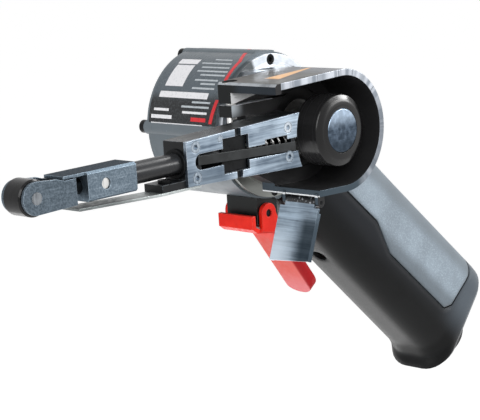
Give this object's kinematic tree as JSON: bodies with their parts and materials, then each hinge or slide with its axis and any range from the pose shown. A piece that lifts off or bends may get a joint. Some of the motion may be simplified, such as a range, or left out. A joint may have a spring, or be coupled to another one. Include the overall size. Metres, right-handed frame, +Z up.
{
  "type": "pneumatic power file",
  "caption": "Pistol-grip air power file for a narrow abrasive belt, with an open side belt housing, a sprung idler arm with a roller tip, a platen strip, a spark deflector and a lever trigger.",
  "frame": {"origin": "On the drive pulley's axis, in the middle plane of the belt", "axes": "+X along the arm from the pulley to the idler roller, +Y along the pulley axis out of the open side of the belt housing, +Z up, away from the grip"},
  "size_m": [0.284, 0.0803, 0.1537],
  "materials": {
    "black_enamel": "satin black enamel on cast metal",
    "black_oxide": "oiled black oxide on turned steel",
    "bare_aluminium": "machined, bare",
    "brushed_cover": "brushed lengthwise",
    "blued_steel": "blued, slightly worn",
    "bright_steel": "bright, turned",
    "spring_strip": "tempered strip",
    "deflector_sheet": "brushed across",
    "grip_rubber": "matt moulded rubber",
    "grip_grain": "fine leather grain",
    "trigger_red": "satin red enamel",
    "inlet_brass": "turned",
    "plain_bronze": "sintered"
  },
  "bodies": {
    "handle": {"motor_housing": "black_enamel", "motor_end_cap": "black_enamel", "end_cap_bolts": "black_oxide", "cylinder_liner": "bright_steel", "rear_end_plate": "plain_bronze", "front_end_plate": "plain_bronze", "rear_bearing": "bright_steel", "front_bearing": "bright_steel", "front_flange": "bare_aluminium", "flange_screws": "black_oxide", "shoulder_plug": "bright_steel", "grip_sleeve": "grip_rubber", "grip_inlay": "grip_grain", "inlet_cap": "black_enamel", "inlet_bushing": "inlet_brass", "trigger_bracket": "black_enamel", "trigger_pin": "bright_steel", "valve_bush": "inlet_brass", "valve_spring": "bright_steel"},
    "rotor": {"rotor": "bright_steel", "rotor_vanes": "plain_bronze", "drive_pulley": "black_oxide", "pulley_nut": "bright_steel"},
    "head": {"belt_housing": "black_enamel", "pinch_screw": "bright_steel", "arm_holder": "black_enamel", "holder_screws": "black_oxide", "cover_front": "brushed_cover", "cover_rear": "brushed_cover", "cover_screws": "bright_steel", "slot_strip": "spring_strip", "rod_bush": "bright_steel", "platen_strip": "spring_strip", "platen_screw": "bright_steel", "deflector_pin": "bright_steel", "tension_spring": "bright_steel"},
    "arm": {"arm_rod": "black_oxide", "tension_slider": "black_oxide", "slider_pin": "bright_steel", "arm_head": "blued_steel", "head_pin": "bright_steel", "idler_yoke": "blued_steel", "idler_pin": "bright_steel"},
    "idler": {"idler_roller": "black_oxide", "idler_bush": "plain_bronze"},
    "deflector": {"deflector": "deflector_sheet"},
    "trigger": {"trigger": "trigger_red"},
    "valve": {"valve_stem": "bright_steel"}
  },
  "joints": [
    {"name": "rotor_spin", "type": "hinge", "parent": "handle", "child": "rotor", "pos_m": [0, 0, 0], "axis": [0, 1, 0], "continuous": true},
    {"name": "head_swivel", "type": "hinge", "parent": "handle", "child": "head", "pos_m": [0, -0.0178, 0], "axis": [0, 1, 0], "range_deg": [-60, 60]},
    {"name": "arm_slide", "type": "slide", "parent": "head", "child": "arm", "axis": [1, 0, 0], "range_m": [-0.012, 0], "stiffness_N_per_m": 900, "springref_m": 0.012, "deforming": ["tension_spring"]},
    {"name": "idler_spin", "type": "hinge", "parent": "arm", "child": "idler", "pos_m": [0.145, 0, 0], "axis": [0, 1, 0], "continuous": true},
    {"name": "deflector_tilt", "type": "hinge", "parent": "head", "child": "deflector", "pos_m": [0.0145, -0.0019, -0.02471], "axis": [0, 1, 0], "range_deg": [-40.5, 29.5]},
    {"name": "trigger_pull", "type": "hinge", "parent": "handle", "child": "trigger", "pos_m": [0.00369, -0.04, -0.0339], "axis": [0, 1, 0], "range_deg": [0, 10], "stiffness_Nm_per_rad": 0.4, "springref_deg": -11.46},
    {"name": "valve_push", "type": "slide", "parent": "handle", "child": "valve", "axis": [-0.6782, 0, 0.7349], "range_m": [0, 0.0046], "deforming": ["valve_spring"]}
  ],
  "couplings": [
    {"joint": "valve_push", "follows": "trigger_pull", "m_per_rad": 0.0251}
  ]
}
